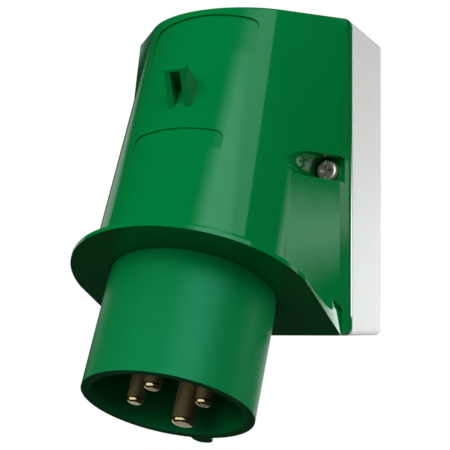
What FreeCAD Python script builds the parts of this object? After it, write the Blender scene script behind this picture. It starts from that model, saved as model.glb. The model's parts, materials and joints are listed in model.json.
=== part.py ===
import FreeCAD, Part
import math
import os

# Wall-mounted pin and sleeve inlet: grey wall box, green hood, tilted plug sleeve with four pins.
# Millimetres. The wall is the plane Y = 0 and the part stands out of it towards -Y, with +Z up.
# The origin is the centre of the face that lies on the wall.
# The plug parts are drawn in the plug's own frame: +Z runs from the mouth up into the hood,
# +Y points at the wall, and the plug frame's origin is the centre of the sleeve's mouth.

Vector = FreeCAD.Vector

# Wall box
box_width = 74.6
box_height = 98.5
box_depth = 31.7
box_wall = 2.5
box_corner_r = 2.2
box_rear_edge_r = 0.8
fixing_inset_x = 12.3
fixing_inset_z = 12.25
fixing_hole_d = 4.8
fixing_boss_d = 11.0
fixing_boss_height = 2.5
entry_hole_d = 20.5
entry_from_wall = 15.0
knockout_d = 20.0
knockout_groove_width = 1.0
knockout_groove_depth = 1.4

# Hood shell
hood_side_inset = 0.4
hood_end_inset = 0.2
hood_wall = 2.5
hood_corner_r = 1.3
hood_top_edge_r = 1.0
hood_gap = 0.2
rim_depth = 1.6
rim_bevel = 0.35
rim_draft = 0.08
barrel_r = 30.95
crease_top_depth = 2.1
crease_depth = 11.1
crease_height = 56.0
tangent_sink = 0.03
flank_overrun = 6.0

# Plug axis
axis_tilt = 26.0
collar_forward = 68.3
collar_height = 13.4

# Collar round the sleeve
collar_thickness = 1.3
collar_floor = 3.0
collar_blend_r = 4.0
collar_side_inset = 0.2
collar_side_draft = 6.0
collar_side_rear = 40.7
collar_side_top = 7.2

# Plug sleeve
sleeve_outer_d = 50.0
sleeve_wall = 3.0
sleeve_reach = 36.8
sleeve_mouth_r = 0.4
sleeve_fit = 0.3
sleeve_flange_gap = 0.45
sleeve_flange_thickness = 2.5
key_width = 6.3
key_offset = -0.6
key_height = 4.2
key_length = 33.0
key_edge_r = 2.9

# Sleeve seal
seal_thickness = 0.8
seal_width = 2.4

# Pins
pin_circle_r = 10.85
line_pin_d = 5.0
earth_pin_d = 7.0
pin_tip_r = 1.2
line_pin_setback = 0.65
earth_pin_lead = 1.2
line_head_d = 9.0
earth_head_d = 10.4
pin_head_length = 17.0
pin_root_step = 0.6
wire_bore_depth = 11.0
line_wire_bore_d = 3.6
earth_wire_bore_d = 4.4

# Contact carrier and its retainer
carrier_face_rise = 1.2
carrier_seat_rise = 5.0
carrier_fit = 0.3
carrier_flange_gap = 0.95
carrier_flange_thickness = 3.0
head_fit = 0.3
retainer_thickness = 2.5
retainer_hole_d = 6.2
retainer_screw_r = 15.2
retainer_screw_d = 2.5
retainer_screw_length = 9.0

# Terminal screws and pressure plates
terminal_screw_d = 3.5
terminal_screw_length = 4.6
terminal_slot_width = 0.8
terminal_slot_depth = 0.9
terminal_above_bore_floor = 4.0
plate_thickness = 0.8
plate_length = 6.0
plate_setback = 0.5

# Screws that clamp the carrier and the sleeve to the hood
ear_x = 27.0
ear_y = 18.0
ear_r = 3.5
insert_screw_d = 3.0
insert_screw_length = 7.0
insert_head_d = 5.6
insert_head_height = 2.0

# Cover screws and their pockets
pocket_height = 50.6
pocket_width = 7.6
cover_screw_inset = 5.6
pocket_floor_depth = 38.0
pocket_floor_wall = 2.3
pocket_wall = 1.8
cover_screw_d = 4.0
cover_screw_length = 20.0
cover_head_d = 6.5
cover_head_height = 2.3
cover_hole_d = 4.6
cover_boss_d = 8.0
washer_thickness = 0.6
washer_d = 6.4
insert_nut_d = 5.8
insert_nut_length = 8.0

# Box gasket
gasket_width = 1.1
gasket_groove_depth = 1.0

# Latch nose on the barrel
nose_rib_thickness = 1.8
nose_rib_pitch = 5.0
nose_foot = 80.2
nose_top = 89.4
nose_height = 7.5
nose_crest = 1.7
nose_lean = 0.3
nose_bridge = 2.2

# Label windows on the barrel
window_corner_r = 2.4
upper_window_width = 34.2
upper_window_top = 113.8
upper_window_fade = 12.5
upper_window_depth = 0.5
lower_window_width = 28.6
lower_window_top = 72.8
lower_window_fade = 6.0
lower_window_depth = 0.4

# Cable grommet
grommet_lip = 1.8
grommet_lip_thickness = 1.4
grommet_membrane = 1.2
grommet_fit = 0.3

# Recess in a screw head
cross_width = 0.9
cross_span = 3.4
cross_depth = 1.3
slot_depth = 0.7

# Sizes and places that follow from the ones above
bottom = -box_height / 2
box_front = -box_depth
hood_rear = box_front - hood_gap
hood_half = box_width / 2 - hood_side_inset
hood_low = bottom + hood_end_inset
hood_high = bottom + box_height - hood_end_inset
crease_top_y = hood_rear - crease_top_depth
crease_y = hood_rear - crease_depth
tilt = math.radians(axis_tilt)
axis_rise = math.cos(tilt)
axis_back = math.sin(tilt)
mouth = Vector(
    0,
    -collar_forward - sleeve_reach * axis_back,
    bottom + collar_height - sleeve_reach * axis_rise,
)
plug_placement = FreeCAD.Placement(mouth, FreeCAD.Rotation(Vector(1, 0, 0), -axis_tilt))
sleeve_r = sleeve_outer_d / 2
sleeve_bore_r = sleeve_r - sleeve_wall
barrel_bore_r = barrel_r - hood_wall
sleeve_flange_r = barrel_bore_r - sleeve_flange_gap
carrier_flange_r = barrel_bore_r - carrier_flange_gap
floor_top = sleeve_reach + collar_floor
seal_top = floor_top + seal_thickness
flange_top = seal_top + sleeve_flange_thickness
carrier_flange_top = flange_top + carrier_flange_thickness
carrier_r = sleeve_bore_r - carrier_fit
carrier_face = sleeve_reach + carrier_face_rise
carrier_seat = carrier_face + carrier_seat_rise
carrier_top = carrier_seat + pin_head_length
terminal_height = carrier_top - wire_bore_depth + terminal_above_bore_floor
cover_screw_x = box_width / 2 - cover_screw_inset
pocket_z = bottom + pocket_height
pocket_floor_y = -pocket_floor_depth
reach_far = 200.0


def box(x0, x1, y0, y1, z0, z1):
    return Part.makeBox(x1 - x0, y1 - y0, z1 - z0, Vector(x0, y0, z0))


def cylinder(radius, start, end, centre=(0, 0)):
    """Round bar along Z between two heights."""
    return Part.makeCylinder(radius, end - start, Vector(centre[0], centre[1], start))


def tube(outer_r, inner_r, start, end, centre=(0, 0)):
    return cylinder(outer_r, start, end, centre).cut(cylinder(inner_r, start - 1, end + 1, centre))


def in_plug_frame(shape):
    """Moves a shape drawn in the plug's own frame to its place on the tilted axis."""
    placed = shape.copy()
    placed.Placement = plug_placement.multiply(placed.Placement)
    return placed


def rounded_outline(half_x, low, high, radius, y):
    """Closed rounded rectangle in the plane at Y = y."""
    corners = [
        (half_x, low, -90),
        (half_x, high, 0),
        (-half_x, high, 90),
        (-half_x, low, 180),
    ]
    edges = []
    points = []
    for x, z, start in corners:
        cx = x - math.copysign(radius, x)
        cz = z + radius if z == low else z - radius
        arc = [
            Vector(
                cx + radius * math.cos(math.radians(start + step)),
                y,
                cz + radius * math.sin(math.radians(start + step)),
            )
            for step in (0, 45, 90)
        ]
        points.append(arc)
    for index, arc in enumerate(points):
        edges.append(Part.Arc(*arc).toShape())
        edges.append(Part.makeLine(arc[2], points[(index + 1) % 4][0]))
    return Part.Wire(edges)


def rounded_prism(half_x, low, high, radius, y_front, y_rear):
    """Rounded rectangle drawn towards the wall from y_front to y_rear."""
    outline = rounded_outline(half_x, low, high, radius, y_front)
    return Part.Face(outline).extrude(Vector(0, y_rear - y_front, 0))


def barrel_centre_y(z):
    """Where the plug axis passes through the level z."""
    return mouth.y + (z - mouth.z) * math.tan(tilt)


def crease_point_y(z):
    """Front edge of the hood's side strip: upright below, leaning back to the roof above."""
    rise = z - (bottom + crease_height)
    if rise <= 0:
        return crease_y
    return crease_y + (crease_top_y - crease_y) * rise / (box_height - crease_height - hood_end_inset)


def tangent_point(x, y, z, radius):
    """Touch point, on the barrel's section at level z, of the line from the crease (x, y)."""
    centre_y = barrel_centre_y(z)
    py = (y - centre_y) * axis_rise
    angle = math.atan2(py, x) - math.acos(radius / math.hypot(x, py))
    return radius * math.cos(angle), centre_y + radius * math.sin(angle) / axis_rise


def flank_section(z, inset):
    """Section of the body between barrel and wall box at level z, moved inwards by inset."""
    outer_y = crease_point_y(z)
    touch_x, touch_y = tangent_point(hood_half, outer_y, z, barrel_r)
    turn = math.atan2(hood_half - touch_x, outer_y - touch_y)
    x = hood_half - inset
    y = outer_y + inset * math.tan(turn / 2)
    tx, ty = tangent_point(x, y, z, barrel_r - inset - tangent_sink)
    y += (y - ty) * flank_overrun / (x - tx)
    x += flank_overrun
    corners = [(-x, 0), (-x, y), (-tx, ty), (tx, ty), (x, y), (x, 0)]
    points = [Vector(px, py, z) for px, py in corners]
    return Part.makePolygon(points + [points[0]])


def flank_body(inset):
    """Body between barrel and box, whose sides run tangent into the tilted barrel."""
    bend = bottom + crease_height
    low = bottom - 1
    high = bottom + box_height + 1
    lower_levels = [low + (bend - low) * step / 4 for step in range(5)]
    upper_levels = [bend + (high - bend) * step / 3 for step in range(4)]
    lower = Part.makeLoft([flank_section(z, inset) for z in lower_levels], True, False)
    upper = Part.makeLoft([flank_section(z, inset) for z in upper_levels], True, False)
    return lower.fuse(upper)


def body_above(inset, station):
    """Barrel and flanks above a station of the plug axis, with walls moved in by inset."""
    barrel = in_plug_frame(cylinder(barrel_r - inset, station, reach_far))
    above = in_plug_frame(box(-reach_far, reach_far, -reach_far, reach_far, station, reach_far))
    return barrel.fuse(flank_body(inset).common(above))


def hood_envelope(inset, rear):
    """Rounded prism towards the wall that bounds the hood at the sides, top and foot."""
    return rounded_prism(
        hood_half - inset,
        hood_low + inset,
        hood_high - inset,
        hood_corner_r,
        -reach_far,
        rear,
    )


def hood_block(inset, station):
    """The hood's body above a station of the plug axis, shrunk by inset on every side."""
    return body_above(inset, station).common(hood_envelope(inset, hood_rear + 1))


def plug_station(point):
    """Height of a point above the sleeve's mouth, along the plug axis."""
    return plug_placement.inverse().multVec(point).z


def blend_onto_collar(body):
    """Rounds the seam where the barrel and its flanks stand on the collar."""
    station = sleeve_reach + collar_thickness
    seam = [
        edge
        for edge in body.Edges
        if edge.Curve.TypeId == "Part::GeomCircle"
        and abs(edge.Curve.Radius - barrel_r) < 0.01
        and abs(plug_station(edge.CenterOfMass) - station) < 0.01
    ]
    return body.makeFillet(collar_blend_r, seam)


def collar_outline(half, start, end):
    """Half round in front of the plug axis, with straight sides behind it."""
    disc = cylinder(half, start, end)
    sides = box(-half, half, 0, reach_far, start, end)
    return disc.fuse(sides).removeSplitter()


def collar_side_tool():
    """Cutter that draws the collar's straight side in, at a draft, in front of the side strip."""
    low = sleeve_reach - 1
    high = sleeve_reach + collar_side_top
    slope = math.tan(math.radians(collar_side_draft))
    foot = hood_half - collar_side_inset + slope
    corners = [
        (foot, low),
        (reach_far / 2, low),
        (reach_far / 2, high),
        (foot - (high - low) * slope, high),
    ]
    points = [Vector(x, -reach_far / 2, station) for x, station in corners]
    wedge = Part.Face(Part.makePolygon(points + [points[0]])).extrude(Vector(0, reach_far, 0))
    front = box(-reach_far, reach_far, -reach_far, -collar_side_rear, -reach_far, reach_far)
    return in_plug_frame(wedge).common(front)


def hood_outside():
    """Solid hood: body blended onto its collar, trimmed to the collar's outline and the envelope."""
    top = sleeve_reach + collar_thickness
    slab = box(-reach_far / 2, reach_far / 2, -reach_far / 2, reach_far, sleeve_reach, top)
    body = blend_onto_collar(body_above(0, sleeve_reach + collar_thickness / 2).fuse(in_plug_frame(slab)))
    body = body.common(in_plug_frame(collar_outline(hood_half, sleeve_reach, reach_far)))
    return body.common(hood_envelope(0, hood_rear)).cut(mirrored_pair(collar_side_tool()))


def rim_bead():
    """Bead that brings the hood's rear rim out to the width of the wall box and draws in behind."""
    front = hood_rear - rim_depth
    high = bottom + box_height
    slim = rounded_outline(hood_half, hood_low, hood_high, hood_corner_r, front)
    wide = rounded_outline(box_width / 2, bottom, high, box_corner_r, front + rim_bevel)
    rear = rounded_outline(
        box_width / 2 - rim_draft, bottom + rim_draft, high - rim_draft, box_corner_r, hood_rear
    )
    return Part.makeLoft([slim, wide, rear], True, True)


def window_tool(width, top, fade, depth):
    """Cutter for a label window, deepest at its top edge and running out at its foot."""
    foot = top - fade
    profile = Part.makePolygon(
        [
            Vector(barrel_r - depth, 0, top),
            Vector(barrel_r + 2, 0, top),
            Vector(barrel_r + 2, 0, foot),
            Vector(barrel_r, 0, foot),
            Vector(barrel_r - depth, 0, top),
        ]
    )
    ring = Part.Face(profile).revolve(Vector(0, 0, 0), Vector(0, 0, 1), 360)
    pane = Part.Face(rounded_outline(width / 2, foot - 5, top, window_corner_r, -reach_far))
    return in_plug_frame(ring.common(pane.extrude(Vector(0, reach_far, 0))))


def latch_nose():
    """Two ribs joined by a bridge at the top, which hold a coupled connector's lid."""
    half = (nose_rib_pitch + nose_rib_thickness) / 2
    crest = barrel_r + nose_height
    root = barrel_r - 1
    side = [
        (root, nose_foot - 1),
        (barrel_r, nose_foot),
        (crest, nose_top - nose_crest),
        (crest - nose_lean, nose_top),
        (root, nose_top),
    ]
    points = [Vector(-half, -out, station) for out, station in side]
    wedge = Part.Face(Part.makePolygon(points + [points[0]])).extrude(Vector(2 * half, 0, 0))
    gap = nose_rib_pitch / 2 - nose_rib_thickness / 2
    slot = box(-gap, gap, -crest - 1, -barrel_r, nose_foot - 2, nose_top - nose_bridge)
    lip = box(-half, half, -barrel_r, -root, nose_foot, nose_top)
    return in_plug_frame(wedge.cut(slot).fuse(lip))


def pocket_shape(grow, y_front, y_rear):
    """Driver pocket open to the side of the hood, on the +X side, with a round inner end."""
    radius = pocket_width / 2 + grow
    bar = box(cover_screw_x, reach_far, y_front, y_rear, pocket_z - radius, pocket_z + radius)
    end = Part.makeCylinder(
        radius, y_rear - y_front, Vector(cover_screw_x, y_front, pocket_z), Vector(0, 1, 0)
    )
    return bar.fuse(end)


def along_y(radius, x, z, y0, y1):
    """Round bar towards the wall between y0 and y1."""
    return Part.makeCylinder(radius, y1 - y0, Vector(x, y0, z), Vector(0, 1, 0))


def mirrored_pair(shape):
    return [shape, shape.mirror(Vector(0, 0, 0), Vector(1, 0, 0))]


def ear_centres():
    return [(-ear_x, ear_y), (ear_x, ear_y)]


def hood():
    shell = hood_outside()
    roof = [
        edge
        for edge in shell.Edges
        if edge.BoundBox.ZMin > hood_high - 0.01 and edge.BoundBox.YMin < hood_rear - 1
    ]
    shell = shell.makeFillet(hood_top_edge_r, roof)
    shell = shell.fuse([rim_bead(), latch_nose()])
    cavity = hood_block(hood_wall, floor_top)
    shell = shell.cut(cavity)
    envelope = hood_block(0.5, sleeve_reach)
    screw_pads = []
    for tub in mirrored_pair(
        pocket_shape(pocket_wall, -reach_far, pocket_floor_y + pocket_floor_wall)
    ):
        screw_pads.append(tub.common(envelope))
    boss = along_y(cover_boss_d / 2, cover_screw_x, pocket_z, pocket_floor_y, hood_rear)
    screw_pads += mirrored_pair(boss)
    for centre in ear_centres():
        screw_pads.append(in_plug_frame(cylinder(ear_r, floor_top - 0.5, flange_top, centre)))
    shell = shell.fuse(screw_pads)
    cutters = mirrored_pair(pocket_shape(0, -reach_far, pocket_floor_y))
    cutters += mirrored_pair(
        along_y(cover_hole_d / 2, cover_screw_x, pocket_z, pocket_floor_y - 1, hood_rear + 1)
    )
    cutters.append(in_plug_frame(cylinder(sleeve_r + sleeve_fit, 0, floor_top + 1)))
    pilot_end = carrier_flange_top - insert_screw_length
    for centre in ear_centres():
        cutters.append(in_plug_frame(cylinder(insert_screw_d / 2, pilot_end, reach_far / 2, centre)))
    cutters.append(
        window_tool(upper_window_width, upper_window_top, upper_window_fade, upper_window_depth)
    )
    cutters.append(
        window_tool(lower_window_width, lower_window_top, lower_window_fade, lower_window_depth)
    )
    cutters.append(gasket_ring(hood_rear - gasket_groove_depth, hood_rear + 1, 0))
    return shell.cut(cutters)


def gasket_ring(y_front, y_rear, side_gap):
    """Rectangular ring in the middle of the hood's rear wall."""
    middle = hood_wall / 2
    outer = middle - gasket_width / 2 + side_gap
    inner = middle + gasket_width / 2 - side_gap
    rings = []
    for inset in (outer, inner):
        rings.append(
            rounded_prism(
                hood_half - inset,
                hood_low + inset,
                hood_high - inset,
                hood_corner_r,
                y_front,
                y_rear,
            )
        )
    return rings[0].cut(rings[1])


def box_gasket():
    return gasket_ring(hood_rear - gasket_groove_depth, box_front, 0.05)


def fixing_centres():
    half_x = box_width / 2 - fixing_inset_x
    half_z = box_height / 2 - fixing_inset_z
    return [(x, z) for x in (-half_x, half_x) for z in (-half_z, half_z)]


def wall_box():
    half = box_width / 2
    high = bottom + box_height
    body = rounded_prism(half, bottom, high, box_corner_r, box_front, 0)
    rear_edges = [edge for edge in body.Edges if edge.BoundBox.YMin > -0.01]
    body = body.makeFillet(box_rear_edge_r, rear_edges)
    inside = rounded_prism(
        half - box_wall,
        bottom + box_wall,
        high - box_wall,
        box_corner_r,
        box_front - 1,
        -box_wall,
    )
    body = body.cut(inside)
    additions = []
    for x, z in fixing_centres():
        additions.append(
            along_y(fixing_boss_d / 2, x, z, -box_wall - fixing_boss_height, -box_wall / 2)
        )
    screw_boss = along_y(cover_boss_d / 2, cover_screw_x, pocket_z, box_front, -box_wall / 2)
    web = box(
        cover_screw_x,
        half - box_wall / 2,
        box_front,
        -box_wall / 2,
        pocket_z - cover_boss_d / 2 + 1,
        pocket_z + cover_boss_d / 2 - 1,
    )
    additions += mirrored_pair(screw_boss.fuse(web))
    body = body.fuse(additions)
    cutters = [along_y(fixing_hole_d / 2, x, z, -reach_far / 4, 1) for x, z in fixing_centres()]
    cutters += mirrored_pair(
        along_y(insert_nut_d / 2, cover_screw_x, pocket_z, box_front - 1, box_front + insert_nut_length)
    )
    cutters += mirrored_pair(
        along_y(
            cover_hole_d / 2,
            cover_screw_x,
            pocket_z,
            box_front + insert_nut_length - 1,
            pocket_floor_y + cover_screw_length + 1,
        )
    )
    cutters.append(cylinder(entry_hole_d / 2, high - box_wall - 1, high + 1, (0, -entry_from_wall)))
    groove_outer = along_y(
        knockout_d / 2, 0, 0, -box_wall - 1, -box_wall + knockout_groove_depth
    )
    groove_inner = along_y(
        knockout_d / 2 - knockout_groove_width, 0, 0, -box_wall - 1, -box_wall + knockout_groove_depth
    )
    cutters.append(groove_outer.cut(groove_inner))
    return body.cut(cutters)


def cable_grommet():
    """Snap-in ring with a thin membrane that the cable is pushed through."""
    high = bottom + box_height
    hole_r = entry_hole_d / 2 - grommet_fit
    lip_r = entry_hole_d / 2 + grommet_lip
    low = high - box_wall - grommet_lip_thickness
    top = high + grommet_lip_thickness
    profile = [
        (0, high - box_wall),
        (hole_r - 2, high - box_wall),
        (hole_r - 2, low),
        (lip_r, low),
        (lip_r, high - box_wall),
        (hole_r, high - box_wall),
        (hole_r, high),
        (lip_r, high),
        (lip_r - 0.6, top),
        (hole_r - 1.2, top),
        (hole_r - 2.4, high - box_wall + grommet_membrane),
        (0, high - box_wall + grommet_membrane),
    ]
    points = [Vector(r, -entry_from_wall, z) for r, z in profile]
    face = Part.Face(Part.makePolygon(points + [points[0]]))
    return face.revolve(Vector(0, -entry_from_wall, 0), Vector(0, 0, 1), 360)


def plug_sleeve():
    body = cylinder(sleeve_r, 0, flange_top).fuse(
        cylinder(sleeve_flange_r, seal_top, flange_top)
    )
    key = box(
        key_offset - key_width / 2,
        key_offset + key_width / 2,
        0,
        sleeve_r + key_height,
        0,
        key_length,
    )
    crest = [
        edge
        for edge in key.Edges
        if edge.BoundBox.YMin > sleeve_r + key_height - 0.01 and edge.BoundBox.ZLength > 1
    ]
    key = key.makeFillet(key_edge_r, crest)
    body = body.fuse(key).cut(cylinder(sleeve_bore_r, -1, flange_top + 1))
    mouth_edges = [
        edge
        for edge in body.Edges
        if abs(edge.BoundBox.ZMax) < 0.01 and edge.Curve.TypeId == "Part::GeomCircle"
        and abs(edge.Curve.Radius - sleeve_bore_r) < 0.01
    ]
    body = body.makeFillet(sleeve_mouth_r, mouth_edges)
    return in_plug_frame(body)


def sleeve_seal():
    inner = sleeve_r + sleeve_fit
    return in_plug_frame(tube(inner + seal_width, inner, floor_top, seal_top))


def pin_places():
    """Name, centre and outward direction of each pin, seen in the plug's own frame."""
    places = {}
    for name, angle in (("right", 0), ("earth", 90), ("left", 180), ("front", 270)):
        direction = Vector(math.cos(math.radians(angle)), math.sin(math.radians(angle)), 0)
        places[name] = (direction * pin_circle_r, direction, angle)
    return places


def head_diameter(name):
    return earth_head_d if name == "earth" else line_head_d


def contact_pin(name):
    """Turned pin with a round tip and a head that has a wire bore and a cross hole for its screw."""
    centre, direction, angle = pin_places()[name]
    earth = name == "earth"
    shaft_d = earth_pin_d if earth else line_pin_d
    tip = -earth_pin_lead if earth else line_pin_setback
    bore_d = earth_wire_bore_d if earth else line_wire_bore_d
    shaft = cylinder(shaft_d / 2, tip, carrier_face + 1)
    tip_edges = [edge for edge in shaft.Edges if edge.BoundBox.ZMax < tip + 0.01]
    shaft = shaft.makeFillet(pin_tip_r, tip_edges)
    root = cylinder(shaft_d / 2 + pin_root_step, carrier_face, carrier_seat + 1)
    head = cylinder(head_diameter(name) / 2, carrier_seat, carrier_top)
    body = shaft.fuse([root, head])
    body = body.cut(cylinder(bore_d / 2, carrier_top - wire_bore_depth, carrier_top + 1))
    screw_hole = Part.makeCylinder(
        terminal_screw_d / 2, head_diameter(name), Vector(0, 0, terminal_height), Vector(1, 0, 0)
    )
    body = body.cut(screw_hole)
    body.rotate(Vector(0, 0, 0), Vector(0, 0, 1), angle)
    body.translate(centre)
    return in_plug_frame(body)


def wire_bore_r(name):
    return (earth_wire_bore_d if name == "earth" else line_wire_bore_d) / 2


def plate_start(name):
    """Distance from the pin's axis to the pressure plate, which stands just inside the bore."""
    return wire_bore_r(name) - plate_thickness - plate_setback


def terminal_screw(name):
    """Headless slotted screw that bears on the pressure plate from outside."""
    centre, direction, angle = pin_places()[name]
    start = plate_start(name) + plate_thickness
    body = Part.makeCylinder(
        terminal_screw_d / 2, terminal_screw_length, Vector(start, 0, terminal_height), Vector(1, 0, 0)
    )
    end = start + terminal_screw_length
    slot = box(
        end - terminal_slot_depth,
        end + 1,
        -terminal_screw_d,
        terminal_screw_d,
        terminal_height - terminal_slot_width / 2,
        terminal_height + terminal_slot_width / 2,
    )
    body = body.cut(slot)
    body.rotate(Vector(0, 0, 0), Vector(0, 0, 1), angle)
    body.translate(centre)
    return in_plug_frame(body)


def pressure_plate(name):
    """Small plate inside the wire bore, which the terminal screw pushes on the wire."""
    centre, direction, angle = pin_places()[name]
    bore = wire_bore_r(name)
    start = plate_start(name)
    plate = box(
        start,
        start + plate_thickness,
        -bore,
        bore,
        terminal_height - plate_length / 2,
        terminal_height + plate_length / 2,
    )
    plate = plate.common(cylinder(bore, 0, reach_far))
    plate.rotate(Vector(0, 0, 0), Vector(0, 0, 1), angle)
    plate.translate(centre)
    return in_plug_frame(plate)


def retainer_screw_centres():
    offset = retainer_screw_r * math.sqrt(0.5)
    return [(-offset, -offset), (offset, offset)]


def contact_carrier():
    """Insulating body: face disc with pin holes, stepped seats for the heads and screw channels."""
    body = cylinder(carrier_r, carrier_face, carrier_top)
    flange = cylinder(carrier_flange_r, flange_top, carrier_flange_top)
    for centre in ear_centres():
        arm = box(0, math.hypot(ear_x, ear_y), -ear_r, ear_r, flange_top, carrier_flange_top)
        arm.rotate(Vector(0, 0, 0), Vector(0, 0, 1), math.degrees(math.atan2(centre[1], centre[0])))
        lobe = cylinder(ear_r, flange_top, carrier_flange_top, centre)
        flange = flange.fuse(arm.fuse(lobe))
    body = body.fuse(flange)
    cutters = []
    for name, (centre, direction, angle) in pin_places().items():
        shaft_d = earth_pin_d if name == "earth" else line_pin_d
        spot = (centre.x, centre.y)
        root_hole_r = shaft_d / 2 + pin_root_step + head_fit
        cutters.append(cylinder(root_hole_r, carrier_face - 1, carrier_seat + 1, spot))
        cutters.append(cylinder(head_diameter(name) / 2 + head_fit, carrier_seat, carrier_top + 1, spot))
        channel = Part.makeCylinder(
            terminal_screw_d / 2 + 0.5, reach_far, Vector(0, 0, terminal_height), Vector(1, 0, 0)
        )
        channel.rotate(Vector(0, 0, 0), Vector(0, 0, 1), angle)
        channel.translate(centre)
        cutters.append(channel)
    for centre in ear_centres():
        cutters.append(cylinder(insert_screw_d / 2 + head_fit, flange_top - 1, carrier_flange_top + 1, centre))
    for centre in retainer_screw_centres():
        pilot = carrier_top + retainer_thickness - retainer_screw_length
        cutters.append(cylinder(retainer_screw_d / 2, pilot, carrier_top + 1, centre))
    return in_plug_frame(body.cut(cutters))


def pin_retainer():
    top = carrier_top + retainer_thickness
    body = cylinder(carrier_r, carrier_top, top)
    cutters = []
    for centre, direction, angle in pin_places().values():
        cutters.append(cylinder(retainer_hole_d / 2, carrier_top - 1, top + 1, (centre.x, centre.y)))
    for centre in retainer_screw_centres():
        cutters.append(cylinder(retainer_screw_d / 2 + head_fit, carrier_top - 1, top + 1, centre))
    return in_plug_frame(body.cut(cutters))


def pan_screw(shank_d, length, head_d, head_height, recess):
    """Pan-head screw with its head's underside at Z = 0, pointing down."""
    shank = cylinder(shank_d / 2, -length, 0)
    head = cylinder(head_d / 2, 0, head_height)
    crown = [edge for edge in head.Edges if edge.BoundBox.ZMin > head_height - 0.01]
    head = head.makeFillet(head_height * 0.4, crown)
    body = shank.fuse(head)
    arm = recess * cross_width / 2
    span = recess * cross_span / 2
    deep = head_height - recess * cross_depth
    cross = box(-span, span, -arm, arm, deep, head_height + 1)
    cross = cross.fuse(box(-arm, arm, -span, span, deep, head_height + 1))
    slot = box(-arm, arm, -head_d, head_d, head_height - recess * slot_depth, head_height + 1)
    return body.cut([cross, slot])


def insert_screws():
    screws = []
    for centre in ear_centres():
        screw = pan_screw(insert_screw_d, insert_screw_length, insert_head_d, insert_head_height, 0.8)
        screw.translate(Vector(centre[0], centre[1], carrier_flange_top))
        screws.append(in_plug_frame(screw))
    return Part.makeCompound(screws)


def retainer_screws():
    screws = []
    for centre in retainer_screw_centres():
        screw = pan_screw(retainer_screw_d, retainer_screw_length, 4.5, 1.7, 0.7)
        screw.translate(Vector(centre[0], centre[1], carrier_top + retainer_thickness))
        screws.append(in_plug_frame(screw))
    return Part.makeCompound(screws)


def cover_screws():
    screw = pan_screw(cover_screw_d, cover_screw_length, cover_head_d, cover_head_height, 1.0)
    screw.rotate(Vector(0, 0, 0), Vector(1, 0, 0), 90)
    screw.translate(Vector(cover_screw_x, pocket_floor_y - washer_thickness, pocket_z))
    return Part.makeCompound(mirrored_pair(screw))


def cover_screw_washers():
    ring = along_y(
        washer_d / 2, cover_screw_x, pocket_z, pocket_floor_y - washer_thickness, pocket_floor_y
    )
    hole = along_y(cover_screw_d / 2, cover_screw_x, pocket_z, pocket_floor_y - 2, pocket_floor_y + 1)
    return Part.makeCompound(mirrored_pair(ring.cut(hole)))


def cover_screw_inserts():
    nut = along_y(
        insert_nut_d / 2, cover_screw_x, pocket_z, box_front, box_front + insert_nut_length
    )
    hole = along_y(
        cover_screw_d / 2, cover_screw_x, pocket_z, box_front - 1, box_front + insert_nut_length + 1
    )
    return Part.makeCompound(mirrored_pair(nut.cut(hole)))


def line_names():
    return [name for name in pin_places() if name != "earth"]


def build():
    parts = {
        "wall_box": wall_box(),
        "hood": hood(),
        "plug_sleeve": plug_sleeve(),
        "sleeve_seal": sleeve_seal(),
        "contact_carrier": contact_carrier(),
        "pin_retainer": pin_retainer(),
        "retainer_screws": retainer_screws(),
        "insert_screws": insert_screws(),
        "cover_screws": cover_screws(),
        "cover_screw_washers": cover_screw_washers(),
        "cover_screw_inserts": cover_screw_inserts(),
        "box_gasket": box_gasket(),
        "cable_grommet": cable_grommet(),
        "earth_pin": contact_pin("earth"),
        "earth_terminal_screw": terminal_screw("earth"),
        "earth_pressure_plate": pressure_plate("earth"),
    }
    for name in line_names():
        parts["line_pin_" + name] = contact_pin(name)
    parts["line_terminal_screws"] = Part.makeCompound([terminal_screw(n) for n in line_names()])
    parts["line_pressure_plates"] = Part.makeCompound([pressure_plate(n) for n in line_names()])
    return parts


def main():
    os.makedirs("parts", exist_ok=True)
    for name, shape in build().items():
        count = len(shape.Solids)
        print(name, "solids", count, "valid", shape.isValid(), "volume", round(shape.Volume, 2))
        shape.exportStep("parts/" + name + ".step")


main()
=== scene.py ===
import json
import math

import bpy
from mathutils import Matrix, Vector

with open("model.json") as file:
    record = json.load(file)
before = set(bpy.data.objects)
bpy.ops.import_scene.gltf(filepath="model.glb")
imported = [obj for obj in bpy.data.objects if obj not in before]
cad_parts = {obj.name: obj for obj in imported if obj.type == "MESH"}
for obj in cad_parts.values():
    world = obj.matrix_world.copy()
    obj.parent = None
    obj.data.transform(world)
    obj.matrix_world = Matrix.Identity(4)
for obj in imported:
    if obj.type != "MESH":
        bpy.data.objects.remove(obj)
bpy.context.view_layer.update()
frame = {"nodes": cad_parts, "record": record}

# Wall-mounted pin and sleeve inlet: glossy green hood, matt green sleeve and brass pins on a grey
# wall box, under soft studio light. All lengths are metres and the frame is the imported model's.

bl_info = {
    "name": "Pin and sleeve inlet",
    "version": (1, 0, 0),
    "blender": (4, 5, 0),
    "location": "View3D > Sidebar > Inlet",
    "description": "Finishes for a wall-mounted pin and sleeve inlet, with its studio stage",
    "category": "Object",
}

# The plug's mount sits in the middle of the sleeve's mouth and points out of it. The axis here
# runs the other way, from the mouth up into the part.
PLUG_MOUNT = next(m for m in frame["record"]["mounts"] if m["name"] == "plug_interface")
MOUTH = Vector(PLUG_MOUNT["pos_m"])
PLUG_AXIS = -Vector(PLUG_MOUNT["axis"])
LINE_PINS = ("line_pin_left", "line_pin_front", "line_pin_right")

# A pin is rubbed bright over this length from its free end, and dulls over the fade above it.
RUBBED_LENGTH = 0.00088
RUBBED_FADE = 0.0006
RUBBED_ROUGHNESS = 0.16
DULL_ROUGHNESS = 0.5
RING_SPACING_MM = 0.35
RING_DEPTH_MM = 0.004

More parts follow.
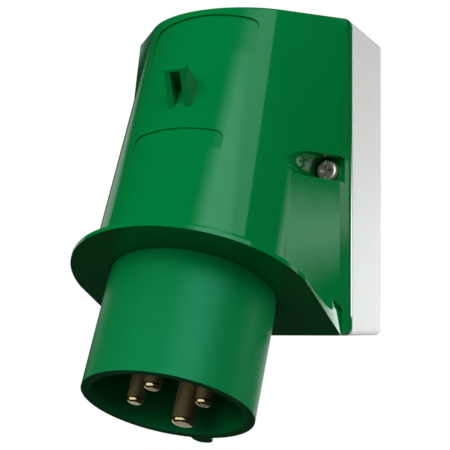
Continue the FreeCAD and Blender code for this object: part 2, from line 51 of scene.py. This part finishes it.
# The Mix node's colour sockets share their names with its other kinds, so they go by number.
MIX_A, MIX_B, MIX_RESULT = 6, 7, 2

# The camera is level, and its frame is shifted up to hold the whole part.
CAMERA_PLACE = (0.139389, -0.350764, -0.047159)
CAMERA_TURN = math.radians(24.553)
CAMERA_SHIFT = 0.231
SENSOR_WIDTH = 36.0

# The floor is dark to all but the camera, for which a glow lifts its own colour to white.
FLOOR_REACH = 12.0
FLOOR_BOUNCE = "303030"
FLOOR_LIFT = 0.64

# Places across and up of the backdrop's corners, from its right edge over its steps to its left.
BACKDROP_DISTANCE = 1.1
BACKDROP_STEPS = (
    (0.20, -0.09),
    (-0.12, -0.09),
    (-0.12, 0.20),
    (-0.38, 0.20),
    (-0.38, 0.42),
    (-0.66, 0.42),
)

WHITE = "ffffff"
AMBIENT_LIGHT = 0.56
DARK_STUDIO = 0.01
LAMP_TARGET = (0.0, -0.05, 0.0)


def hex_colour(text):
    """Turns an sRGB hex value into the linear colour that shaders and lights use."""
    channels = [int(text[index:index + 2], 16) / 255 for index in (0, 2, 4)]
    linear = [c / 12.92 if c <= 0.04045 else ((c + 0.055) / 1.055) ** 2.4 for c in channels]
    return (*linear, 1.0)


def colour_prop(name, description, text):
    """Colour that a user may change, with an sRGB hex value as its default."""
    return bpy.props.FloatVectorProperty(
        name=name,
        description=description,
        subtype="COLOR",
        size=4,
        min=0.0,
        max=1.0,
        default=hex_colour(text),
    )


class InletFinishes(bpy.types.PropertyGroup):
    hood_green: colour_prop("Hood green", "Glossy moulded hood", "007f3b")
    sleeve_green: colour_prop("Sleeve green", "Matt moulded sleeve", "008442")
    box_grey: colour_prop("Box grey", "Moulded wall box", "e2e4e1")
    carrier_black: colour_prop("Carrier black", "Insulating body behind the pins", "1a1c1b")
    rubber_black: colour_prop("Rubber black", "Gasket, seal and washers", "171717")
    grommet_grey: colour_prop("Grommet grey", "Cable entry at the top", "8a8c8a")
    pin_brass: colour_prop("Pin brass", "Turned contact pins", "b5a376")
    screw_zinc: colour_prop("Screw zinc", "Plated screws", "bab9b0")


class InletStage(bpy.types.PropertyGroup):
    floor_drop: bpy.props.FloatProperty(
        name="Floor below the part",
        description="How far under the wall face's centre the studio floor lies",
        default=0.30,
        unit="LENGTH",
    )
    floor_colour: colour_prop("Floor", "Pale studio floor", "d8d8d8")
    focal_length: bpy.props.FloatProperty(
        name="Focal length",
        description="Lens of the camera on a 36 mm sensor",
        default=85.4,
        unit="CAMERA",
    )


def add_node(tree, kind, settings=None, inputs=None, links=None):
    """Adds one shader node; links maps an input's name to the socket that feeds it."""
    node = tree.nodes.new(kind)
    for key, value in (settings or {}).items():
        setattr(node, key, value)
    for key, value in (inputs or {}).items():
        node.inputs[key].default_value = value
    for key, socket in (links or {}).items():
        tree.links.new(socket, node.inputs[key])
    return node


def start_material(name):
    """New material with an empty node tree."""
    material = bpy.data.materials.new(name)
    material.use_nodes = True
    tree = material.node_tree
    tree.nodes.clear()
    return material, tree


def end_material(tree, shader):
    """Feeds the finished shader to the material's output."""
    output = add_node(tree, "ShaderNodeOutputMaterial")
    tree.links.new(shader.outputs[0], output.inputs["Surface"])


def mottled(tree, vector, pale, deep, size_mm):
    """Colour that drifts between two shades in soft patches of about size_mm."""
    patches = add_node(
        tree,
        "ShaderNodeTexNoise",
        inputs={"Scale": 1000.0 / size_mm, "Detail": 2.0},
        links={"Vector": vector},
    )
    shades = add_node(
        tree,
        "ShaderNodeMix",
        settings={"data_type": "RGBA"},
        inputs={MIX_A: deep, MIX_B: pale},
        links={0: patches.outputs["Fac"]},
    )
    return shades.outputs[MIX_RESULT]


def grained(tree, vector, size_mm, height_mm, detail=2.0):
    """Relief of random grain, size_mm across and height_mm deep."""
    grain = add_node(
        tree,
        "ShaderNodeTexNoise",
        inputs={"Scale": 1000.0 / size_mm, "Detail": detail},
        links={"Vector": vector},
    )
    relief = add_node(
        tree,
        "ShaderNodeBump",
        inputs={"Strength": 1.0, "Distance": height_mm / 1000.0},
        links={"Height": grain.outputs["Fac"]},
    )
    return relief.outputs["Normal"]


def glossy_abs(green):
    """ABS moulded against a polished steel tool: mirror-like gloss over a deep even green.

    Sink and flow leave slow waves some 20 mm long, so that long reflections waver a little.
    The real pigment is deeper than sRGB can hold, and a green tint on the head-on reflection
    stands in for that.
    """
    material, tree = start_material("glossy_moulded_abs")
    place = add_node(tree, "ShaderNodeTexCoord").outputs["Object"]
    shader = add_node(
        tree,
        "ShaderNodeBsdfPrincipled",
        inputs={"Roughness": 0.06, "IOR": 1.54, "Specular Tint": hex_colour("b8fff0")},
        links={
            "Base Color": mottled(tree, place, green, hex_colour("007a39"), 12.0),
            "Normal": grained(tree, place, 22.0, 0.008, 1.0),
        },
    )
    end_material(tree, shader)
    return material


def spark_eroded_pa(green):
    """Polyamide moulded against a spark-eroded tool: an even fine grain that spreads highlights.

    The real grain is about 0.1 mm and is drawn 0.6 mm wide, so that it shows at this distance.
    Its reflection has the hood's green tint, a little stronger.
    """
    material, tree = start_material("spark_eroded_polyamide")
    place = add_node(tree, "ShaderNodeTexCoord").outputs["Object"]
    shader = add_node(
        tree,
        "ShaderNodeBsdfPrincipled",
        inputs={"Roughness": 0.36, "IOR": 1.53, "Specular Tint": hex_colour("80fff0")},
        links={
            "Base Color": mottled(tree, place, green, hex_colour("007c3e"), 5.0),
            "Normal": grained(tree, place, 0.6, 0.025),
        },
    )
    end_material(tree, shader)
    return material


def satin_asa(grey):
    """ASA moulded against a fine-blasted tool: pale grey, with a satin sheen and no reflections.

    The blasted grain of about 0.15 mm is drawn 0.5 mm wide, so that it just breaks the sheen.
    """
    material, tree = start_material("satin_moulded_asa")
    place = add_node(tree, "ShaderNodeTexCoord").outputs["Object"]
    shader = add_node(
        tree,
        "ShaderNodeBsdfPrincipled",
        inputs={"Roughness": 0.5, "IOR": 1.52},
        links={
            "Base Color": mottled(tree, place, grey, hex_colour("dddfdc"), 9.0),
            "Normal": grained(tree, place, 0.5, 0.005),
        },
    )
    end_material(tree, shader)
    return material


def glass_filled_pa(black):
    """Glass-filled polyamide: near black, with a dull mottle where fibres lie at the skin.

    Fibre ends of about 0.2 mm are drawn 0.4 mm wide.
    """
    material, tree = start_material("glass_filled_polyamide")
    place = add_node(tree, "ShaderNodeTexCoord").outputs["Object"]
    shader = add_node(
        tree,
        "ShaderNodeBsdfPrincipled",
        inputs={"Roughness": 0.6, "IOR": 1.53},
        links={
            "Base Color": mottled(tree, place, hex_colour("242725"), black, 1.5),
            "Normal": grained(tree, place, 0.4, 0.012),
        },
    )
    end_material(tree, shader)
    return material


def moulded_epdm(black):
    """EPDM rubber, compression moulded: dull black with a faint grey bloom in patches.

    Talc pits of about 0.2 mm are drawn 0.5 mm wide.
    """
    material, tree = start_material("moulded_epdm_rubber")
    place = add_node(tree, "ShaderNodeTexCoord").outputs["Object"]
    shader = add_node(
        tree,
        "ShaderNodeBsdfPrincipled",
        inputs={"Roughness": 0.8, "IOR": 1.5},
        links={
            "Base Color": mottled(tree, place, hex_colour("222221"), black, 3.0),
            "Normal": grained(tree, place, 0.5, 0.02),
        },
    )
    end_material(tree, shader)
    return material


def soft_tpe(grey):
    """Thermoplastic elastomer from a lightly blasted tool: soft grey with a dry, powdery sheen.

    Its grain of about 0.15 mm is drawn 0.4 mm wide.
    """
    material, tree = start_material("soft_moulded_tpe")
    place = add_node(tree, "ShaderNodeTexCoord").outputs["Object"]
    shader = add_node(
        tree,
        "ShaderNodeBsdfPrincipled",
        inputs={"Roughness": 0.7, "IOR": 1.48, "Sheen Weight": 0.08, "Sheen Roughness": 0.5},
        links={
            "Base Color": mottled(tree, place, grey, hex_colour("838583"), 4.0),
            "Normal": grained(tree, place, 0.4, 0.01),
        },
    )
    end_material(tree, shader)
    return material


def pin_end(pin):
    """Station of a pin's free end along the plug's axis."""
    return min(vertex.co.dot(PLUG_AXIS) for vertex in frame["nodes"][pin].data.vertices)


def turned_brass(name, brass, pin):
    """Brass turned on a lathe: fine rings round each pin, and a tip rubbed bright by sockets.

    Feed marks of about 0.1 mm are drawn 0.35 mm apart, so that they stretch the reflections
    across the pin. The rubbed tip starts at the pin's free end, and the brass dulls above it.
    """
    rubbed_end = pin_end(pin) + RUBBED_LENGTH
    material, tree = start_material(name)
    place = add_node(tree, "ShaderNodeTexCoord").outputs["Object"]
    station = add_node(
        tree,
        "ShaderNodeVectorMath",
        settings={"operation": "DOT_PRODUCT"},
        inputs={1: PLUG_AXIS},
        links={0: place},
    ).outputs["Value"]
    rings = add_node(
        tree,
        "ShaderNodeTexNoise",
        settings={"noise_dimensions": "1D"},
        inputs={"Scale": 1000.0 / RING_SPACING_MM, "Detail": 1.0},
        links={"W": station},
    )
    relief = add_node(
        tree,
        "ShaderNodeBump",
        inputs={"Strength": 1.0, "Distance": RING_DEPTH_MM / 1000.0},
        links={"Height": rings.outputs["Fac"]},
    )
    rubbed = add_node(
        tree,
        "ShaderNodeMapRange",
        settings={"interpolation_type": "SMOOTHSTEP"},
        inputs={
            "From Min": rubbed_end,
            "From Max": rubbed_end + RUBBED_FADE,
            "To Min": RUBBED_ROUGHNESS,
            "To Max": DULL_ROUGHNESS,
        },
        links={"Value": station},
    )
    shader = add_node(
        tree,
        "ShaderNodeBsdfPrincipled",
        inputs={"Metallic": 1.0},
        links={
            "Base Color": mottled(tree, place, brass, hex_colour("8c7d58"), 0.6),
            "Roughness": rubbed.outputs[0],
            "Normal": relief.outputs["Normal"],
        },
    )
    end_material(tree, shader)
    return material


def zinc_plated_steel(zinc):
    """Barrel-plated steel: pale grey zinc whose crystals and tumbling marks break up reflections.

    Crystals of about 0.05 mm are drawn 0.25 mm wide.
    """
    material, tree = start_material("zinc_plated_steel")
    place = add_node(tree, "ShaderNodeTexCoord").outputs["Object"]
    shader = add_node(
        tree,
        "ShaderNodeBsdfPrincipled",
        inputs={"Metallic": 1.0, "Roughness": 0.5},
        links={
            "Base Color": mottled(tree, place, zinc, hex_colour("a5a49b"), 0.8),
            "Normal": grained(tree, place, 0.25, 0.006),
        },
    )
    end_material(tree, shader)
    return material


def dress(material, *names):
    """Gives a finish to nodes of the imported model."""
    for name in names:
        mesh = frame["nodes"][name].data
        mesh.materials.clear()
        mesh.materials.append(material)


class INLET_OT_hood(bpy.types.Operator):
    """Finishes the hood in glossy green"""

    bl_idname = "inlet.hood"
    bl_label = "Hood"

    def execute(self, context):
        dress(glossy_abs(context.scene.inlet_finishes.hood_green), "hood")
        return {"FINISHED"}


class INLET_OT_wall_box(bpy.types.Operator):
    """Finishes the wall box in satin grey"""

    bl_idname = "inlet.wall_box"
    bl_label = "Wall box"

    def execute(self, context):
        dress(satin_asa(context.scene.inlet_finishes.box_grey), "wall_box")
        return {"FINISHED"}


class INLET_OT_grommet(bpy.types.Operator):
    """Finishes the soft cable grommet in the top of the box"""

    bl_idname = "inlet.grommet"
    bl_label = "Cable grommet"

    def execute(self, context):
        dress(soft_tpe(context.scene.inlet_finishes.grommet_grey), "cable_grommet")
        return {"FINISHED"}


class INLET_OT_sleeve(bpy.types.Operator):
    """Finishes the plug sleeve in matt green"""

    bl_idname = "inlet.sleeve"
    bl_label = "Sleeve"

    def execute(self, context):
        dress(spark_eroded_pa(context.scene.inlet_finishes.sleeve_green), "plug_sleeve")
        return {"FINISHED"}


class INLET_OT_carrier(bpy.types.Operator):
    """Finishes the insulating body behind the pins and its retainer"""

    bl_idname = "inlet.carrier"
    bl_label = "Contact carrier"

    def execute(self, context):
        black = glass_filled_pa(context.scene.inlet_finishes.carrier_black)
        dress(black, "contact_carrier", "pin_retainer")
        return {"FINISHED"}


class INLET_OT_seals(bpy.types.Operator):
    """Finishes the sleeve seal, the box gasket and the screw washers"""

    bl_idname = "inlet.seals"
    bl_label = "Seals"

    def execute(self, context):
        rubber = moulded_epdm(context.scene.inlet_finishes.rubber_black)
        dress(rubber, "sleeve_seal", "box_gasket", "cover_screw_washers")
        return {"FINISHED"}


class INLET_OT_contacts(bpy.types.Operator):
    """Finishes the pins, their pressure plates and the threaded inserts"""

    bl_idname = "inlet.contacts"
    bl_label = "Contacts"

    def execute(self, context):
        colour = context.scene.inlet_finishes.pin_brass
        dress(
            turned_brass("turned_brass", colour, "line_pin_front"),
            *LINE_PINS,
            "line_pressure_plates",
            "earth_pressure_plate",
            "cover_screw_inserts",
        )
        dress(turned_brass("turned_brass_earth", colour, "earth_pin"), "earth_pin")
        return {"FINISHED"}


class INLET_OT_screws(bpy.types.Operator):
    """Finishes every screw in plated steel"""

    bl_idname = "inlet.screws"
    bl_label = "Screws"

    def execute(self, context):
        steel = zinc_plated_steel(context.scene.inlet_finishes.screw_zinc)
        dress(
            steel,
            "cover_screws",
            "insert_screws",
            "retainer_screws",
            "line_terminal_screws",
            "earth_terminal_screw",
        )
        return {"FINISHED"}


def fade_across(tree, vector, axis, start, end, low=0.0):
    """Smooth ramp from low to 1 along one axis of a coordinate, between two values of it."""
    split = add_node(tree, "ShaderNodeSeparateXYZ", links={0: vector})
    ramp = add_node(
        tree,
        "ShaderNodeMapRange",
        settings={"interpolation_type": "SMOOTHSTEP"},
        inputs={"From Min": start, "From Max": end, "To Min": low},
        links={"Value": split.outputs[axis]},
    )
    return ramp.outputs[0]


def aimed(name, data, place, aim, along):
    """Places a lamp so that it faces aim, with its height turned towards a direction."""
    place = Vector(place)
    facing = (place - Vector(aim)).normalized()
    side = Vector(along).cross(facing).normalized()
    turn = Matrix((side, facing.cross(side), facing)).transposed().to_4x4()
    turn.translation = place
    holder = bpy.data.objects.new(name, data)
    holder.matrix_world = turn
    bpy.context.scene.collection.objects.link(holder)
    return holder


def softbox(
    name,
    place,
    size,
    level,
    aim=LAMP_TARGET,
    along=(0, 0, 1),
    fades=(),
    mirrored=True,
    only=(),
):
    """Rectangular lamp, size wide and high, whose face glows at level.

    Each fade is an axis of the face, the two places on it, from 0 to 1, between which the glow
    rises to full, and what it rises from where that isn't 0. A lamp that isn't mirrored gives
    light but no reflection. If only is given, the lamp lights just those nodes.
    """
    lamp = bpy.data.lights.new(name, "AREA")
    lamp.shape = "RECTANGLE"
    lamp.size, lamp.size_y = size
    # A lamp's watts are its face's glow times pi times its area.
    lamp.energy = level * math.pi * lamp.size * lamp.size_y
    if fades:
        lamp.use_nodes = True
        tree = lamp.node_tree
        tree.nodes.clear()
        face = add_node(tree, "ShaderNodeNewGeometry").outputs["Parametric"]
        total = fade_across(tree, face, *fades[0])
        for fade in fades[1:]:
            total = add_node(
                tree,
                "ShaderNodeMath",
                settings={"operation": "MULTIPLY"},
                links={0: total, 1: fade_across(tree, face, *fade)},
            ).outputs[0]
        glow = add_node(tree, "ShaderNodeEmission", links={"Strength": total})
        output = add_node(tree, "ShaderNodeOutputLight")
        tree.links.new(glow.outputs[0], output.inputs["Surface"])
    holder = aimed(name, lamp, place, aim, along)
    holder.visible_glossy = mirrored
    holder.visible_camera = False
    if only:
        lit = bpy.data.collections.new(name + "_lights")
        for node in only:
            lit.objects.link(frame["nodes"][node])
        holder.light_linking.receiver_collection = lit


def plane(name, corners, material):
    """Flat sheet of the stage, through corners in order round its edge."""
    mesh = bpy.data.meshes.new(name)
    mesh.from_pydata(corners, [], [range(len(corners))])
    mesh.materials.append(material)
    sheet = bpy.data.objects.new(name, mesh)
    bpy.context.scene.collection.objects.link(sheet)


def ray_mix(tree, rays, plain, shown):
    """Shows one shader to the named kinds of ray and the plain one to all others."""
    path = add_node(tree, "ShaderNodeLightPath")
    total = path.outputs[rays[0]]
    for kind in rays[1:]:
        total = add_node(
            tree,
            "ShaderNodeMath",
            settings={"operation": "MAXIMUM"},
            links={0: total, 1: path.outputs[kind]},
        ).outputs[0]
    return add_node(
        tree, "ShaderNodeMixShader", links={0: total, 1: plain.outputs[0], 2: shown.outputs[0]}
    )


def lay_floor(low, colour):
    """Pale floor that the camera sees as white with the part's shadow, and that bounces little."""
    material, tree = start_material("pale_floor")
    shade = add_node(tree, "ShaderNodeBsdfDiffuse", inputs={"Color": hex_colour(FLOOR_BOUNCE)})
    matt = add_node(tree, "ShaderNodeBsdfDiffuse", inputs={"Color": colour})
    lift = add_node(tree, "ShaderNodeEmission", inputs={"Strength": FLOOR_LIFT})
    shown = add_node(tree, "ShaderNodeAddShader", links={0: matt.outputs[0], 1: lift.outputs[0]})
    end_material(tree, ray_mix(tree, ["Is Camera Ray"], shade, shown))
    corners = [(-1, -1), (1, -1), (1, 1), (-1, 1)]
    plane("studio_floor", [(x * FLOOR_REACH, y * FLOOR_REACH, low) for x, y in corners], material)


def hang_backdrop(low, colour):
    """White backdrop, stepped so that the hood mirrors it only where the studio is bright."""
    material, tree = start_material("white_backdrop")
    glow = add_node(tree, "ShaderNodeEmission", inputs={"Strength": 1.0})
    plain = add_node(tree, "ShaderNodeBsdfDiffuse", inputs={"Color": colour})
    rays = ["Is Camera Ray", "Is Glossy Ray", "Is Transmission Ray"]
    end_material(tree, ray_mix(tree, rays, plain, glow))
    right, left = BACKDROP_STEPS[0][0], BACKDROP_STEPS[-1][0]
    outline = [(left, low), (right, low), *BACKDROP_STEPS]
    plane("white_backdrop", [(x, BACKDROP_DISTANCE, z) for x, z in outline], material)


def light_surroundings(scene):
    """Even light from all sides, white to the camera and dark to gloss, as behind black flags."""
    scene.world = bpy.data.worlds.new("white_surroundings")
    scene.world.use_nodes = True
    tree = scene.world.node_tree
    tree.nodes.clear()
    colour = hex_colour(WHITE)
    sky, dim, white = (
        add_node(tree, "ShaderNodeBackground", inputs={"Color": colour, "Strength": strength})
        for strength in (AMBIENT_LIGHT, DARK_STUDIO, 1.0)
    )
    unlit = ray_mix(tree, ["Is Glossy Ray"], sky, dim)
    mix = ray_mix(tree, ["Is Camera Ray"], unlit, white)
    output = add_node(tree, "ShaderNodeOutputWorld")
    tree.links.new(mix.outputs[0], output.inputs["Surface"])


def place_lamps():
    """Soft lamps and cards round the part."""
    # Long pale streak down the barrel, brighter on its left.
    softbox(
        "overhead_panel",
        place=(1.0, -0.72, 1.0),
        size=(1.7, 1.08),
        level=2.1,
        aim=(1.0, -0.72, 0.0),
        along=(0, 1, 0),
        fades=(("X", 0.0, 0.25), ("Y", 0.80, 0.66, 0.62)),
    )

    # Plain light from the front left, and from the back right onto sides and underside.
    softbox("front_fill", place=(-0.30, -1.1, 0.60), size=(0.9, 0.9), level=3.1, mirrored=False)
    softbox("right_fill", place=(0.28, 0.24, -0.17), size=(0.16, 0.16), level=9.5, mirrored=False)

    # Thin sheen down the barrel's left edge, fading upwards.
    softbox(
        "left_card",
        place=(-0.9, 0.58, 0.30),
        size=(0.58, 0.42),
        level=0.52,
        fades=(("X", 1.0, 0.94), ("X", 0.0, 0.42), ("Y", 0.90, 0.62)),
    )

    # Broad dim reflection in the flank below the screw pocket.
    softbox(
        "right_card",
        place=(0.91, 0.69, 0.25),
        size=(0.42, 0.5),
        level=1.25,
        fades=(("X", 0.0, 0.5), ("X", 0.88, 0.5)),
    )

    # Paler foot of the wall box.
    softbox(
        "box_fill",
        place=(0.19, 0.0, -0.14),
        size=(0.1, 0.1),
        level=4.3,
        aim=(0.037, -0.015, -0.045),
        mirrored=False,
        only=["wall_box"],
    )

    # Faint reflection in the strip beside the box, and a bright one in the facet at its foot.
    softbox(
        "strip_card",
        place=(0.37, 1.08, 0.12),
        size=(0.2, 0.13),
        level=0.3,
        fades=(("Y", 0.0, 0.4),),
    )
    softbox(
        "rear_kicker",
        place=(0.21, 1.1, 0.10),
        size=(0.22, 0.26),
        level=7.0,
        fades=(("Y", 1.0, 0.2), ("X", 0.0, 0.24)),
    )

    # Reflections in the shafts of the pins, in their tips, and in the heads of the cover screws.
    pins = (*LINE_PINS, "earth_pin")
    softbox(
        "pin_card",
        place=(-0.08, -0.31, -0.15),
        size=(0.44, 0.28),
        level=2.2,
        aim=MOUTH,
        only=pins,
    )
    softbox(
        "tip_card",
        place=(-0.20, 0.12, -0.27),
        size=(0.3, 0.3),
        level=0.85,
        aim=MOUTH,
        only=pins,
    )
    softbox(
        "screw_card",
        place=(0.72, -0.58, 0.05),
        size=(0.5, 0.5),
        level=11.0,
        only=["cover_screws"],
    )


def set_camera(scene, focal_length):
    """Level camera at the photograph's viewing angle."""
    camera = bpy.data.cameras.new("product_camera")
    camera.lens = focal_length
    camera.sensor_width = SENSOR_WIDTH
    camera.shift_y = CAMERA_SHIFT
    camera.clip_start = 0.01
    holder = bpy.data.objects.new("product_camera", camera)
    holder.location = CAMERA_PLACE
    holder.rotation_euler = (math.radians(90.0), 0.0, CAMERA_TURN)
    scene.collection.objects.link(holder)
    scene.camera = holder


class INLET_OT_stage(bpy.types.Operator):
    """Builds the floor, the white backdrop, the studio lamps and the camera"""

    bl_idname = "inlet.stage"
    bl_label = "Stage"

    def execute(self, context):
        scene = context.scene
        stage = scene.inlet_stage
        lay_floor(-stage.floor_drop, stage.floor_colour)
        hang_backdrop(-stage.floor_drop, stage.floor_colour)
        light_surroundings(scene)
        place_lamps()
        set_camera(scene, stage.focal_length)
        scene.view_settings.view_transform = "Standard"
        return {"FINISHED"}


class INLET_PT_panel(bpy.types.Panel):
    """Lists the inlet's colours, sizes and steps in the sidebar"""

    bl_idname = "INLET_PT_panel"
    bl_label = "Pin and sleeve inlet"
    bl_space_type = "VIEW_3D"
    bl_region_type = "UI"
    bl_category = "Inlet"

    def draw(self, context):
        layout = self.layout
        for group in (context.scene.inlet_finishes, context.scene.inlet_stage):
            for name in group.__annotations__:
                layout.prop(group, name)
        for step in STEPS:
            layout.operator(step.bl_idname)


STEPS = (
    INLET_OT_hood,
    INLET_OT_wall_box,
    INLET_OT_grommet,
    INLET_OT_sleeve,
    INLET_OT_carrier,
    INLET_OT_seals,
    INLET_OT_contacts,
    INLET_OT_screws,
    INLET_OT_stage,
)
CLASSES = (InletFinishes, InletStage, *STEPS, INLET_PT_panel)


def register():
    for cls in CLASSES:
        bpy.utils.register_class(cls)
    bpy.types.Scene.inlet_finishes = bpy.props.PointerProperty(type=InletFinishes)
    bpy.types.Scene.inlet_stage = bpy.props.PointerProperty(type=InletStage)


def unregister():
    del bpy.types.Scene.inlet_stage
    del bpy.types.Scene.inlet_finishes
    for cls in reversed(CLASSES):
        bpy.utils.unregister_class(cls)


def main():
    """Builds the scene step by step."""
    register()
    bpy.ops.inlet.hood()
    bpy.ops.inlet.wall_box()
    bpy.ops.inlet.grommet()
    bpy.ops.inlet.sleeve()
    bpy.ops.inlet.carrier()
    bpy.ops.inlet.seals()
    bpy.ops.inlet.contacts()
    bpy.ops.inlet.screws()
    bpy.ops.inlet.stage()


if __name__ == "__main__":
    main()
